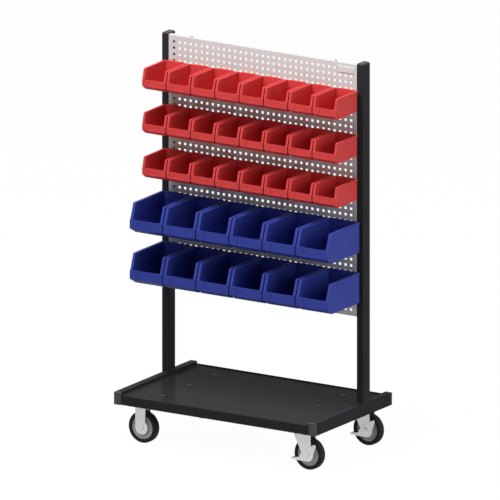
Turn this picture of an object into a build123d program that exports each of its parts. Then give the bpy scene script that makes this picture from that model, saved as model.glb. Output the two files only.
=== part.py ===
from build123d import *
from math import radians, tan
import os

# Mobile rack for small parts: a castored base, two posts, a perforated panel between them
# and five rows of open-fronted bins hanging on the panel.
# Millimetres. X runs to the right along the panel, Y to the back, Z up.
# The origin lies on the floor under the middle of the base.

# Frame of rectangular steel tube
frame_width = 910.0
rail_length = 540.0
post_height = 1343.0
post_front = 69.0
tube_width = 30.0
tube_depth = 50.0
tube_wall = 3.0
tube_corner = 2.5

# Plastic caps in the open tube ends
rail_cap_thickness = 8.0
post_cap_thickness = 5.0
cap_plug_length = 12.0
cap_plug_clearance = 0.3

# Shelf folded from sheet steel, and the bearers under it that the castors bolt to
shelf_height = 38.0
shelf_sheet = 2.0
shelf_bend = 4.0
shelf_stop = 4.5
bearer_sheet = 3.0
bearer_width = 125.0
bearer_flange = 22.0

# Perforated panel with folded edges
panel_height = 1000.0
panel_sheet = 1.5
panel_flange = 20.0
panel_margin = 25.0
hole_size = 10.0
hole_pitch = 25.0

# Rails on the panel that the bins hang on
bin_standoff = 11.0
hang_rail_end_gap = 4.0
hang_rail_height = 38.0
hang_rail_sheet = 2.0
hang_clearance = 0.3
hang_side_clearance = 0.5

# What the bins of both sizes share
bin_wall = 2.5
rim_reach = 3.5
rim_depth = 5.0
hook_thickness = 3.0
hook_tip = 2.5
hook_drop = 12.0
hook_gap = 1.2

# Small red bins
red_pitch = 110.0
red_width = 105.5
red_depth = 160.0
red_height = 84.0
red_nose_setback = 20.5
red_nose_rise = 13.0
red_lip_height = 42.0
red_mouth_setback = 9.0
red_hook_width = 68.0
red_row_drops = {"top": 100.0, "middle": 275.0, "lower": 450.0}
red_bins_per_row = 8

# Large blue bins
blue_pitch = 150.0
blue_width = 146.5
blue_depth = 234.0
blue_height = 120.0
blue_nose_setback = 37.0
blue_nose_rise = 21.5
blue_lip_height = 58.0
blue_mouth_setback = 22.0
blue_hook_width = 100.0
blue_row_drops = {"upper": 620.0, "bottom": 820.0}
blue_bins_per_row = 6

# Castors: two fixed on the left, two swivelling on the right
castor_end_inset = 57.0
fixed_castor_inset = 96.0
swivel_castor_inset = 93.0
castor_trail = 28.0
wheel_headroom = 27.0
plate_length = 100.0
plate_depth = 85.0
plate_thickness = 4.0
fork_sheet = 3.0
fixed_leg_width = 45.0
fixed_leg_round = 55.0
swivel_leg_round = 49.0
swivel_leg_front = 34.0
swivel_leg_back = 43.0
race_diameter = 64.0
race_height = 7.0
king_pin_diameter = 12.0
king_nut_width = 19.0
king_nut_height = 7.0
running_clearance = 0.05
axial_clearance = 0.3

# Wheels
wheel_diameter = 125.0
tyre_width = 32.0
tyre_seat_clearance = 0.1
rim_diameter = 95.0
rim_width = 34.0
rim_side_clearance = 0.5
axle_diameter = 10.0
axle_head_width = 17.0
axle_head_height = 6.0

# Brake pedals
brake_sheet = 2.0
brake_disc_diameter = 56.0
brake_shoulder_share = 0.05
ear_reach = 38.0
ear_height = 44.0
ear_width = 8.0
pedal_reach = 73.0
pedal_elbow_reach = 35.0
pedal_drop = 22.0
pedal_arm_width = 15.0
pedal_tread = 12.0

# Heads of the screws and bolts
shelf_screw_head = 11.0
shelf_screw_shank = 6.0
shelf_screw_angle = 90.0
shelf_screw_clearance = 0.1
shelf_screw_spacing = 185.0
bolt_head_width = 13.0
bolt_head_height = 5.5
bolt_spacing_x = 80.0
bolt_spacing_y = 62.0
panel_screw_width = 8.0
panel_screw_height = 3.5
panel_screw_margin = 50.0
rail_screw_width = 8.0
rail_screw_height = 2.0

# How far every cut runs past the face that it opens
overrun = 5.0

# Places that follow from the sizes above
castor_height = wheel_diameter + wheel_headroom
inner_width = frame_width - 2 * tube_width
rail_x = (frame_width - tube_width) / 2
rail_top = castor_height + tube_depth
rail_middle = castor_height + tube_depth / 2
post_y = post_front + tube_depth / 2
post_top = rail_top + post_height
shelf_top = castor_height + shelf_height
bearer_outer = inner_width / 2 - shelf_sheet
bearer_inner = bearer_outer - bearer_width
bearer_height = shelf_height - shelf_sheet
shelf_screw_x = bearer_inner + bearer_sheet - bearer_flange / 2
panel_bottom = post_top - panel_height
panel_middle = post_top - panel_height / 2
bin_back = post_front - bin_standoff
wheel_radius = wheel_diameter / 2
bore_radius = axle_diameter / 2 + running_clearance
plate_bottom = castor_height - plate_thickness
race_bottom = plate_bottom - race_height
crown_top = race_bottom - axial_clearance
crown_bottom = crown_top - fork_sheet
leg_inner = rim_width / 2 + rim_side_clearance
leg_outer = leg_inner + fork_sheet
brake_inner = leg_outer + axial_clearance
brake_outer = brake_inner + brake_sheet
castor_y = rail_length / 2 - castor_end_inset
fixed_castor_x = fixed_castor_inset - frame_width / 2
swivel_castor_x = frame_width / 2 - swivel_castor_inset
swivel_axle_x = swivel_castor_x + castor_trail
castor_rows = {"front": -castor_y, "back": castor_y}
red_row_tops = {name: post_top - drop for name, drop in red_row_drops.items()}
blue_row_tops = {name: post_top - drop for name, drop in blue_row_drops.items()}
sides = {"left": -1, "right": 1}


def facing_front(x, y, z):
    """Workplane seen from the front: across is X, up is Z, extrusions come forward."""
    return Plane(origin=(x, y, z), x_dir=(1, 0, 0), z_dir=(0, -1, 0))


def facing_back(x, y, z):
    """Workplane seen from behind: across is -X, up is Z, extrusions go back."""
    return Plane(origin=(x, y, z), x_dir=(-1, 0, 0), z_dir=(0, 1, 0))


def facing_left(x, y, z):
    """Workplane seen from the left: across is forward, up is Z, extrusions go left."""
    return Plane(origin=(x, y, z), x_dir=(0, -1, 0), z_dir=(-1, 0, 0))


def save(part, name):
    """Label a finished piece and write it to its own STEP file."""
    part.label = name
    export_step(part, f"parts/{name}.step")


def tube(start, length):
    """Rectangular steel tube with eased corners, standing on a workplane."""
    with BuildPart() as steel:
        with BuildSketch(start):
            RectangleRounded(tube_width, tube_depth, tube_corner)
            Rectangle(tube_width - 2 * tube_wall, tube_depth - 2 * tube_wall, mode=Mode.SUBTRACT)
        extrude(amount=length)
    return steel.part


def tube_cap(seat, thickness):
    """Plastic cap on a tube end: a head of the tube's outline, and a plug that reaches inside."""
    plug_inset = tube_wall + cap_plug_clearance
    with BuildPart() as cap:
        with BuildSketch(seat):
            RectangleRounded(tube_width, tube_depth, tube_corner)
        extrude(amount=thickness)
        with BuildSketch(seat):
            Rectangle(tube_width - 2 * plug_inset, tube_depth - 2 * plug_inset)
        extrude(amount=-cap_plug_length)
    return cap.part


def hanging_rail(row_top):
    """Folded rail screwed to the panel, with a standing lip that the bins' hooks go over."""
    lip_top = row_top - hook_thickness - hang_clearance
    rail_bottom = lip_top - hang_rail_height
    lip_front = bin_standoff - hang_side_clearance
    corner = (Align.MIN, Align.MIN)
    with BuildPart() as rail:
        with BuildSketch(facing_left(0, post_front, rail_bottom)):
            Rectangle(hang_rail_sheet, hang_rail_height, align=corner)
            Rectangle(lip_front, hang_rail_sheet, align=corner)
            with Locations((lip_front - hang_rail_sheet, 0)):
                Rectangle(hang_rail_sheet, hang_rail_height, align=corner)
        extrude(amount=inner_width / 2 - hang_rail_end_gap, both=True)
    return rail.part


def bin_blank(width, depth, height, nose_setback, nose_rise, lip_height, mouth_setback, hook_width):
    """Open-fronted bin: its back at Y = 0, its floor at Z = 0 and its mouth towards the front."""
    body_width = width - 2 * rim_reach
    hook_reach = bin_standoff - hang_rail_sheet - hook_gap
    side = facing_left(0, 0, 0)
    nose_corner = (depth - nose_setback, 0)
    nose_tip = (depth, nose_rise)
    lip_corner = (depth, lip_height)
    mouth_corner = (depth - mouth_setback, height)
    back_corner = (0, height)
    with BuildPart() as blank:
        with BuildSketch(side) as outline:
            with BuildLine():
                Polyline(
                    (0, 0), nose_corner, nose_tip, lip_corner, mouth_corner, back_corner, close=True
                )
            make_face()
        extrude(amount=body_width / 2, both=True)
        # Rim along the top of both side walls, down their front edges and across the lip
        with BuildSketch(side):
            with BuildLine():
                Polyline(back_corner, mouth_corner, lip_corner, nose_tip)
                offset(amount=rim_depth, side=Side.RIGHT, kind=Kind.INTERSECTION)
            make_face()
        extrude(amount=width / 2, both=True)
        # Hollow, open above and, over the lip, at the front
        with BuildSketch(side):
            add(outline.sketch_local)
            offset(amount=-bin_wall, kind=Kind.INTERSECTION, mode=Mode.REPLACE)
            with BuildLine():
                Polyline(
                    (bin_wall, lip_height),
                    (depth + overrun, lip_height),
                    (depth + overrun, height + overrun),
                    (bin_wall, height + overrun),
                    close=True,
                )
            make_face()
        extrude(amount=body_width / 2 - bin_wall, both=True, mode=Mode.SUBTRACT)
        # Hook behind the back wall, turned down behind the hanging rail's lip
        with BuildSketch(side):
            with BuildLine():
                Polyline(
                    back_corner,
                    (-hook_reach, height),
                    (-hook_reach, height - hook_drop),
                    (hook_tip - hook_reach, height - hook_drop),
                    (hook_tip - hook_reach, height - hook_thickness),
                    (0, height - hook_thickness),
                    close=True,
                )
            make_face()
        extrude(amount=hook_width / 2, both=True)
    return blank.part


def hang_row(blank, name, row_top, height, pitch, count):
    """Hang a row of bins, numbered from the left, and write each as its own piece."""
    for number in range(count):
        x = (number - (count - 1) / 2) * pitch
        save(blank.moved(Location((x, bin_back, row_top - height))), f"{name}_{number + 1}")


def axle(x, y, head_start):
    """Axle bolt with a hexagon head at each end."""
    with BuildPart() as bolt:
        with BuildSketch(facing_front(x, y, wheel_radius)):
            Circle(axle_diameter / 2)
        extrude(amount=head_start, both=True)
        for plane, head_y in ((facing_front, y - head_start), (facing_back, y + head_start)):
            with BuildSketch(plane(x, head_y, wheel_radius)):
                RegularPolygon(axle_head_width / 2, side_count=6, major_radius=False)
            extrude(amount=axle_head_height)
    return bolt.part


def fixed_fork(y):
    """Fork of a fixed castor: a bolting plate, two legs flush with their round ends, and the axle."""
    leg_length = plate_bottom - wheel_radius
    round_radius = fixed_leg_round / 2
    with BuildPart() as fork:
        with BuildSketch(Plane(origin=(fixed_castor_x, y, plate_bottom))):
            Rectangle(plate_length, plate_depth)
        extrude(amount=plate_thickness)
        for leg_y in (y - leg_inner, y + leg_outer):
            with BuildSketch(facing_front(fixed_castor_x, leg_y, wheel_radius)):
                Circle(round_radius)
                with Locations((-round_radius, 0)):
                    Rectangle(fixed_leg_width, leg_length, align=(Align.MIN, Align.MIN))
            extrude(amount=fork_sheet)
        add(axle(fixed_castor_x, y, leg_outer))
    return fork.part


def swivel_plate(y):
    """Bolting plate of a swivelling castor, with the ball race's cup and the riveted king pin."""
    nut_top = crown_bottom - axial_clearance
    with BuildPart() as plate:
        with BuildSketch(Plane(origin=(swivel_castor_x, y, castor_height))):
            Rectangle(plate_length, plate_depth)
        extrude(amount=-plate_thickness)
        with BuildSketch(Plane(origin=(swivel_castor_x, y, plate_bottom))):
            Circle(race_diameter / 2)
        extrude(amount=-race_height)
        with BuildSketch(Plane(origin=(swivel_castor_x, y, race_bottom))):
            Circle(king_pin_diameter / 2)
        extrude(amount=nut_top - race_bottom)
        with BuildSketch(Plane(origin=(swivel_castor_x, y, nut_top))):
            RegularPolygon(king_nut_width / 2, side_count=6, major_radius=False)
        extrude(amount=-king_nut_height)
    return plate.part


def swivel_fork(y):
    """Fork of a swivelling castor: a crown on the king pin, two trailing legs and the axle."""
    crown_length = swivel_leg_front + swivel_leg_back
    crown_x = swivel_castor_x + (swivel_leg_back - swivel_leg_front) / 2
    crown_rise = crown_top - wheel_radius
    front_x = -castor_trail - swivel_leg_front
    back_x = swivel_leg_back - castor_trail
    round_radius = swivel_leg_round / 2
    with BuildPart() as fork:
        with BuildSketch(Plane(origin=(crown_x, y, crown_bottom))):
            Rectangle(crown_length, 2 * leg_outer)
        extrude(amount=fork_sheet)
        with BuildSketch(Plane(origin=(swivel_castor_x, y, crown_bottom))):
            Circle(king_pin_diameter / 2 + running_clearance)
        extrude(amount=fork_sheet, mode=Mode.SUBTRACT)
        for leg_y in (y - leg_inner, y + leg_outer):
            with BuildSketch(facing_front(swivel_axle_x, leg_y, wheel_radius)):
                with BuildLine():
                    Polyline(
                        (front_x, crown_rise), (-round_radius, 0), (back_x, 0), (back_x, crown_rise), close=True
                    )
                make_face()
                Circle(round_radius)
            extrude(amount=fork_sheet)
        add(axle(swivel_axle_x, y, brake_outer + axial_clearance))
    return fork.part


def brake_pedal(y):
    """Brake lever: two plates that turn on the axle outside the fork, joined by the foot pedal."""
    round_radius = brake_disc_diameter / 2
    arm_x = pedal_tread / 2 - pedal_reach
    with BuildPart() as brake:
        for plate_y in (y - brake_inner, y + brake_outer):
            with BuildSketch(facing_front(swivel_axle_x, plate_y, wheel_radius)):
                with BuildLine():
                    Polyline(
                        (0, -round_radius),
                        (arm_x, -pedal_drop - pedal_arm_width / 2),
                        (arm_x, pedal_arm_width / 2 - pedal_drop),
                        (-pedal_elbow_reach, pedal_arm_width / 2 - pedal_drop),
                        (-round_radius, brake_shoulder_share * round_radius),
                        (0, round_radius),
                        (ear_reach - ear_width, ear_height),
                        (ear_reach, ear_height - ear_width),
                        (round_radius, 0),
                    )
                    CenterArc((0, 0), round_radius, 0, -90)
                make_face()
                Circle(bore_radius, mode=Mode.SUBTRACT)
            extrude(amount=brake_sheet)
        with BuildSketch(facing_front(swivel_axle_x, y, wheel_radius)):
            with Locations((arm_x, -pedal_drop)):
                Rectangle(pedal_tread, brake_sheet)
        extrude(amount=brake_outer, both=True)
    return brake.part


def wheel_rim(x, y):
    """Wheel rim: a disc between the fork's legs that runs on the axle."""
    with BuildPart() as rim:
        with BuildSketch(facing_front(x, y, wheel_radius)):
            Circle(rim_diameter / 2)
            Circle(bore_radius, mode=Mode.SUBTRACT)
        extrude(amount=rim_width / 2, both=True)
    return rim.part


def tyre(x, y):
    """Solid tyre on the rim's seat."""
    with BuildPart() as rubber:
        with BuildSketch(facing_front(x, y, wheel_radius)):
            Circle(wheel_radius)
            Circle(rim_diameter / 2 + tyre_seat_clearance, mode=Mode.SUBTRACT)
        extrude(amount=tyre_width / 2, both=True)
    return rubber.part


os.makedirs("parts", exist_ok=True)

# Base rails and posts
for name, side in sides.items():
    save(tube(facing_front(side * rail_x, rail_length / 2, rail_middle), rail_length), f"side_rail_{name}")
    save(tube(Plane(origin=(side * rail_x, post_y, rail_top)), post_height), f"upright_{name}")

# Caps on both ends of the rails and on the posts
with BuildPart() as tube_end_caps:
    for side in sides.values():
        add(tube_cap(facing_front(side * rail_x, -rail_length / 2, rail_middle), rail_cap_thickness))
        add(tube_cap(facing_back(side * rail_x, rail_length / 2, rail_middle), rail_cap_thickness))
        add(tube_cap(Plane(origin=(side * rail_x, post_y, post_top)), post_cap_thickness))
save(tube_end_caps.part, "tube_end_caps")

# Shelf: a shallow tray turned upside down between the rails, countersunk for its screws,
# with a low stop along its back edge
with BuildPart() as base_shelf:
    with BuildSketch(Plane.XY.offset(castor_height)):
        Rectangle(inner_width, rail_length)
    extrude(amount=shelf_height)
    top_edges = base_shelf.faces().sort_by(Axis.Z)[-1].edges().filter_by(Axis.X)
    fillet(top_edges.sort_by(Axis.Y)[0], radius=shelf_bend)
    offset(amount=-shelf_sheet, openings=base_shelf.faces().sort_by(Axis.Z)[0])
    with BuildSketch(Plane.XY.offset(shelf_top)):
        with Locations((0, rail_length / 2)):
            Rectangle(inner_width, shelf_sheet, align=(Align.CENTER, Align.MAX))
    extrude(amount=shelf_stop)
    with Locations(Plane.XY.offset(shelf_top)):
        with GridLocations(2 * shelf_screw_x, shelf_screw_spacing, 2, 3):
            CounterSinkHole(
                radius=shelf_screw_shank / 2 + shelf_screw_clearance,
                counter_sink_radius=shelf_screw_head / 2 + shelf_screw_clearance,
                counter_sink_angle=shelf_screw_angle,
            )
save(base_shelf.part, "base_shelf")

# Bearers: folded channels inside the shelf, with a flange for the shelf's screws
with BuildPart() as castor_bearers:
    corner = (Align.MIN, Align.MIN)
    bearer_back = rail_length / 2 - shelf_bend
    with BuildSketch(facing_front(bearer_inner, bearer_back, castor_height)):
        Rectangle(bearer_width, bearer_sheet, align=corner)
        Rectangle(bearer_sheet, bearer_height, align=corner)
        with Locations((bearer_width - bearer_sheet, 0)):
            Rectangle(bearer_sheet, bearer_height, align=corner)
        with Locations((bearer_sheet, bearer_height)):
            Rectangle(bearer_flange, bearer_sheet, align=(Align.MAX, Align.MAX))
    extrude(amount=2 * bearer_back)
    mirror(about=Plane.YZ)
save(castor_bearers.part, "castor_bearers")

# Perforated panel: a tray with its folded edges to the back, drilled where no bins cover it
with BuildPart() as perforated_panel:
    with BuildSketch(facing_front(0, post_front + panel_flange, panel_middle)):
        Rectangle(inner_width, panel_height)
    extrude(amount=panel_flange)
    offset(amount=-panel_sheet, openings=perforated_panel.faces().sort_by(Axis.Y)[-1])
    with BuildSketch(facing_front(0, post_front + panel_sheet, 0)):
        top_row = post_top - panel_margin
        columns = round((inner_width - 2 * panel_margin) / hole_pitch) + 1
        rows = round((top_row - red_row_tops["top"]) / hole_pitch)
        with Locations((0, top_row - (rows - 1) / 2 * hole_pitch)):
            with GridLocations(hole_pitch, hole_pitch, columns, rows):
                Rectangle(hole_size, hole_size)
    extrude(amount=panel_sheet, mode=Mode.SUBTRACT)
save(perforated_panel.part, "perforated_panel")

# Hanging rails, one behind the top of each row of bins
with BuildPart() as hanging_rails:
    for row_top in [*red_row_tops.values(), *blue_row_tops.values()]:
        add(hanging_rail(row_top))
save(hanging_rails.part, "hanging_rails")

# Bins
red_blank = bin_blank(
    red_width,
    red_depth,
    red_height,
    red_nose_setback,
    red_nose_rise,
    red_lip_height,
    red_mouth_setback,
    red_hook_width,
)
for name, row_top in red_row_tops.items():
    hang_row(red_blank, f"red_bin_{name}", row_top, red_height, red_pitch, red_bins_per_row)
blue_blank = bin_blank(
    blue_width,
    blue_depth,
    blue_height,
    blue_nose_setback,
    blue_nose_rise,
    blue_lip_height,
    blue_mouth_setback,
    blue_hook_width,
)
for name, row_top in blue_row_tops.items():
    hang_row(blue_blank, f"blue_bin_{name}", row_top, blue_height, blue_pitch, blue_bins_per_row)

# Castors
with BuildPart() as fixed_castor_forks:
    for y in castor_rows.values():
        add(fixed_fork(y))
save(fixed_castor_forks.part, "fixed_castor_forks")
with BuildPart() as swivel_top_plates:
    for y in castor_rows.values():
        add(swivel_plate(y))
save(swivel_top_plates.part, "swivel_top_plates")
for name, y in castor_rows.items():
    save(swivel_fork(y), f"swivel_fork_{name}")
    save(brake_pedal(y), f"brake_pedal_{name}")
    for side, x in (("left", fixed_castor_x), ("right", swivel_axle_x)):
        save(wheel_rim(x, y), f"wheel_rim_{name}_{side}")
        save(tyre(x, y), f"tyre_{name}_{side}")

# Heads of the screws and bolts that show or can be reached
with BuildPart() as fasteners:
    seat_radius = shelf_screw_head / 2 - shelf_sheet * tan(radians(shelf_screw_angle / 2))
    with Locations(Plane.XY.offset(shelf_top)):
        with GridLocations(2 * shelf_screw_x, shelf_screw_spacing, 2, 3):
            Cone(
                seat_radius,
                shelf_screw_head / 2,
                shelf_sheet,
                align=(Align.CENTER, Align.CENTER, Align.MAX),
            )
    with BuildSketch(Plane.XY.offset(plate_bottom)):
        for x in (fixed_castor_x, swivel_castor_x):
            for y in castor_rows.values():
                with Locations((x, y)):
                    with GridLocations(bolt_spacing_x, bolt_spacing_y, 2, 2):
                        RegularPolygon(bolt_head_width / 2, side_count=6, major_radius=False)
    extrude(amount=-bolt_head_height)
    for side in sides.values():
        flange_face = Plane(
            origin=(side * (inner_width / 2 - panel_sheet), post_front + panel_flange / 2, panel_middle),
            x_dir=(0, side, 0),
            z_dir=(-side, 0, 0),
        )
        with BuildSketch(flange_face):
            with GridLocations(panel_height, panel_height / 2 - panel_screw_margin, 1, 3):
                RegularPolygon(panel_screw_width / 2, side_count=6, major_radius=False)
        extrude(amount=panel_screw_height)
    with BuildSketch(facing_front(0, post_front - hang_rail_sheet, 0)):
        for row_tops, pitch in ((red_row_tops, red_pitch), (blue_row_tops, blue_pitch)):
            screw_span = 2 * round(2 * pitch / hole_pitch) * hole_pitch
            for row_top in row_tops.values():
                with Locations((0, row_top - hole_pitch)):
                    with GridLocations(screw_span, hole_pitch, 2, 1):
                        RegularPolygon(rail_screw_width / 2, side_count=6, major_radius=False)
    extrude(amount=rail_screw_height)
save(fasteners.part, "fasteners")
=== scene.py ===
import logging
from collections.abc import Sequence
from dataclasses import dataclass, field
from enum import Enum
from math import acos, cos, pi, radians, sin

import bpy
import numpy as np
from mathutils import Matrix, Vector


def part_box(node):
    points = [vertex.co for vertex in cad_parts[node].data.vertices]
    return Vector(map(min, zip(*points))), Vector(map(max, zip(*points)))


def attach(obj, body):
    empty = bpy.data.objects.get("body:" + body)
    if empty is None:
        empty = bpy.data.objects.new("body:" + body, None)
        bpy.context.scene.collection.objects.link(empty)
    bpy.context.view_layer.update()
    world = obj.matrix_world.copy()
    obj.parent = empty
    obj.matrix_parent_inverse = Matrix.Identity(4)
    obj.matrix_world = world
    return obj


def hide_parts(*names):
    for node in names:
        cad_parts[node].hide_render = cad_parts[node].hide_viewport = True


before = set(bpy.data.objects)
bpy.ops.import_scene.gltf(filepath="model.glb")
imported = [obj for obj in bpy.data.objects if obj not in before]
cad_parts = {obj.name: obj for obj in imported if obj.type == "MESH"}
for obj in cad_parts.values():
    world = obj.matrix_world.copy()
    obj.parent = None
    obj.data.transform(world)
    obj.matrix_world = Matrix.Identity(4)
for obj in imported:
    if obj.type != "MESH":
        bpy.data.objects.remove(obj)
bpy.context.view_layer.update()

# Looks of a mobile rack for small parts: tube frame, castored base, perforated panel and hanging bins.
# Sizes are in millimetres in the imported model's frame: X to the right, Y to the back, Z up.
# Meshes are in metres.

LOG = logging.getLogger("parts_rack")
MM = 0.001
SMOOTH_ANGLE = radians(50)
ROWS = ("front", "back")
SIDES = ("left", "right")
# Sizes that more than one sub-assembly goes by: the shelf's stop above its top, and two thicknesses.
SHELF_STOP = 4.5
PANEL_SHEET = 1.5
CASTOR_PLATE = 4.0
# A hexagon head's chamfer runs this many times as far in as it falls.
CHAMFER_RUN = 1.6
# Points along the rounded rim of a disc.
DISC_RIM_POINTS = 4
# Most values of a noise lie between these two.
NOISE_LOW, NOISE_HIGH = 0.3, 0.7
# A Mix node's colour sockets share their names with others, so they go by number.
MIX_FIRST, MIX_SECOND, MIX_RESULT = 6, 7, 2


class Facing(Enum):
    """The way that a flat outline faces, as the directions of its across and its up."""

    FRONT = ((1, 0, 0), (0, 0, 1))
    LEFT = ((0, -1, 0), (0, 0, 1))
    RIGHT = ((0, -1, 0), (0, 0, -1))
    TOP = ((1, 0, 0), (0, 1, 0))


@dataclass
class Skin:
    """A closed surface: points, four-cornered faces and many-cornered caps."""

    points: np.ndarray
    quads: np.ndarray
    caps: list[np.ndarray] = field(default_factory=list)
    finish: int = 0

    def outward(self) -> "Skin":
        """Turn all faces over where the enclosed volume comes out negative.

        The volume is the sum, over the triangles of every face, of the corners' triple product.

        Returns:
            The skin itself, with its faces pointing out.
        """
        fans = [np.stack([np.full(len(c) - 2, c[0]), c[1:-1], c[2:]], axis=1) for c in self.caps]
        triangles = np.concatenate([self.quads[:, [0, 1, 2]], self.quads[:, [0, 2, 3]], *fans])
        a, b, c = (self.points[triangles[:, k]] for k in range(3))
        if np.einsum("ij,ij->", a, np.cross(b, c)) < 0:
            self.quads = self.quads[:, ::-1]
            self.caps = [cap[::-1] for cap in self.caps]
        return self

    def placed(self, origin: tuple[float, float, float], facing: Facing = Facing.TOP) -> "Skin":
        """Stand the skin in the frame: origin plus across, up and out times the three coordinates.

        Args:
            origin: where the skin's own origin goes.
            facing: how its outline lies; out is the cross product of across and up.

        Returns:
            A new skin with the same faces.
        """
        across, up = (np.array(axis, float) for axis in facing.value)
        axes = np.stack([across, up, np.cross(across, up)])
        return Skin(np.array(origin, float) + self.points @ axes, self.quads, self.caps, self.finish)

    def shifted(self, x: float, y: float, z: float) -> "Skin":
        """The same skin, moved."""
        return Skin(self.points + np.array([x, y, z]), self.quads, self.caps, self.finish)

    def dressed(self, finish: int) -> "Skin":
        """The same skin, with another of its piece's finishes."""
        return Skin(self.points, self.quads, self.caps, finish)

    def mirrored(self) -> "Skin":
        """The same skin, with the sign of its third coordinate changed."""
        points = self.points * np.array([1, 1, -1])
        return Skin(points, self.quads, self.caps, self.finish).outward()


def grid_quads(rows: int, columns: int, ring: bool) -> np.ndarray:
    """Faces of a grid whose columns close on themselves.

    Face (i, j) joins points (i, j), (i, j+1), (i+1, j+1) and (i+1, j), with j counted round.

    Args:
        rows: points along the first parameter.
        columns: points along the second parameter.
        ring: whether the first parameter closes on itself too.

    Returns:
        One row of four point numbers for each face.
    """
    i, j = np.meshgrid(np.arange(rows if ring else rows - 1), np.arange(columns), indexing="ij")
    k, m = (i + 1) % rows, (j + 1) % columns
    corners = [i * columns + j, i * columns + m, k * columns + m, k * columns + j]
    return np.stack(corners, axis=-1).reshape(-1, 4)


def rounded(
    corners: Sequence[Sequence[float]], radius: float | Sequence[float], steps: int = 3
) -> np.ndarray:
    """Closed outline with an arc at each corner.

    An arc starts on the incoming edge, the radius times the tangent of half the turn before the
    corner. Its points are that start turned about the arc's centre by even parts of the turn.

    Args:
        corners: the outline's corners, anticlockwise.
        radius: one radius for all corners, or one for each.
        steps: spans in each arc.

    Returns:
        The outline's points, one row each.
    """
    corner = np.array(corners, float)
    reach = np.broadcast_to(np.array(radius, float), len(corner))[:, None]
    into = corner - np.roll(corner, 1, axis=0)
    into /= np.linalg.norm(into, axis=1, keepdims=True)
    away = np.roll(into, -1, axis=0)
    cross = into[:, 0] * away[:, 1] - into[:, 1] * away[:, 0]
    turn = np.arctan2(cross, np.sum(into * away, axis=1))[:, None]
    start = corner - into * reach * np.tan(np.abs(turn) / 2)
    centre = start + np.stack([-into[:, 1], into[:, 0]], axis=1) * np.sign(turn) * reach
    arm = (start - centre)[:, None]
    angle = turn * np.linspace(0, 1, steps + 1)
    arc_across = np.cos(angle) * arm[..., 0] - np.sin(angle) * arm[..., 1]
    arc_up = np.sin(angle) * arm[..., 0] + np.cos(angle) * arm[..., 1]
    return (centre[:, None] + np.stack([arc_across, arc_up], axis=-1)).reshape(-1, 2)


def rectangle(width: float, height: float, radius: float, steps: int = 3) -> np.ndarray:
    """Outline of a rectangle about the origin, with rounded corners."""
    x, y = width / 2, height / 2
    return rounded([(-x, -y), (x, -y), (x, y), (-x, y)], radius, steps)


def circle(radius: float, steps: int = 24, start: float = 0.0, turn: float = 2 * pi) -> np.ndarray:
    """Points at even angles round a circle, or along an arc of it with both ends.

    A point lies at the radius times the cosine and the sine of its angle.

    Args:
        radius: the circle's radius.
        steps: how many points.
        start: the first point's angle.
        turn: the angle that is covered; a full turn doesn't repeat its first point.

    Returns:
        The points, one row each.
    """
    full = turn == 2 * pi
    angle = start + np.linspace(0, turn, steps, endpoint=not full)
    return radius * np.stack([np.cos(angle), np.sin(angle)], axis=1)


def band(path: list[tuple[float, float]], width: float) -> list[list[float]]:
    """Corners of a strip: an open path, and back along it offset to its left by the width.

    The offset at an inner corner is the sum of both edges' left normals over one plus their dot
    product, so the strip keeps its width along both edges.

    Args:
        path: corners of the path.
        width: the strip's width.

    Returns:
        The strip's corners, anticlockwise.
    """
    line = np.array(path, float)
    edge = np.diff(line, axis=0)
    edge /= np.linalg.norm(edge, axis=1, keepdims=True)
    normal = np.stack([-edge[:, 1], edge[:, 0]], axis=1)
    before, after = np.vstack([normal[:1], normal]), np.vstack([normal, normal[-1:]])
    shift = (before + after) / (1 + np.sum(before * after, axis=1, keepdims=True))
    return np.vstack([line, (line + width * shift)[::-1]]).tolist()


def carry(outline: np.ndarray, profile: np.ndarray, ring: bool = False) -> Skin:
    """Skin of a profile carried round a closed outline.

    Point (i, j) is outline point j moved inwards by the inset of profile point i, at that profile
    point's height. The move follows the mitre: the sum of the inward normals of the two edges at
    point j over one plus their dot product.

    Args:
        outline: anticlockwise points.
        profile: rows of inset and height.
        ring: whether the profile closes on itself; if not, its two ends are capped.

    Returns:
        The closed skin, with the outline in its first two coordinates.
    """
    edge = np.roll(outline, -1, axis=0) - outline
    edge /= np.linalg.norm(edge, axis=1, keepdims=True)
    normal = np.stack([-edge[:, 1], edge[:, 0]], axis=1)
    before = np.roll(normal, 1, axis=0)
    mitre = (before + normal) / (1 + np.sum(before * normal, axis=1, keepdims=True))
    flat = outline[None] + profile[:, 0, None, None] * mitre[None]
    return wrapped(flat, profile[:, 1], ring)


def revolve(profile: np.ndarray, steps: int = 48, ring: bool = False) -> Skin:
    """Skin of a profile turned about the third axis.

    Point (i, j) lies at the radius and height of profile point i, turned by j even parts of a turn.

    Args:
        profile: rows of radius and height.
        steps: points round the axis.
        ring: whether the profile closes on itself; if not, its two ends are capped.

    Returns:
        The closed skin.
    """
    turn = circle(1.0, steps)
    flat = profile[:, 0, None, None] * turn[None]
    return wrapped(flat, profile[:, 1], ring)


def wrapped(flat: np.ndarray, height: np.ndarray, ring: bool) -> Skin:
    """Closed skin over a grid of points whose rows are rings, each at a height of its own.

    Args:
        flat: the first two coordinates, by row and column.
        height: the third coordinate of each row.
        ring: whether the last row joins the first; if not, both are capped.

    Returns:
        The closed skin.
    """
    rows, columns = flat.shape[:2]
    level = np.broadcast_to(height[:, None, None], (rows, columns, 1))
    points = np.concatenate([flat, level], axis=2).reshape(-1, 3)
    first = np.arange(columns)
    caps = [] if ring else [first[::-1], first + (rows - 1) * columns]
    return Skin(points, grid_quads(rows, columns, ring), caps).outward()


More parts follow.
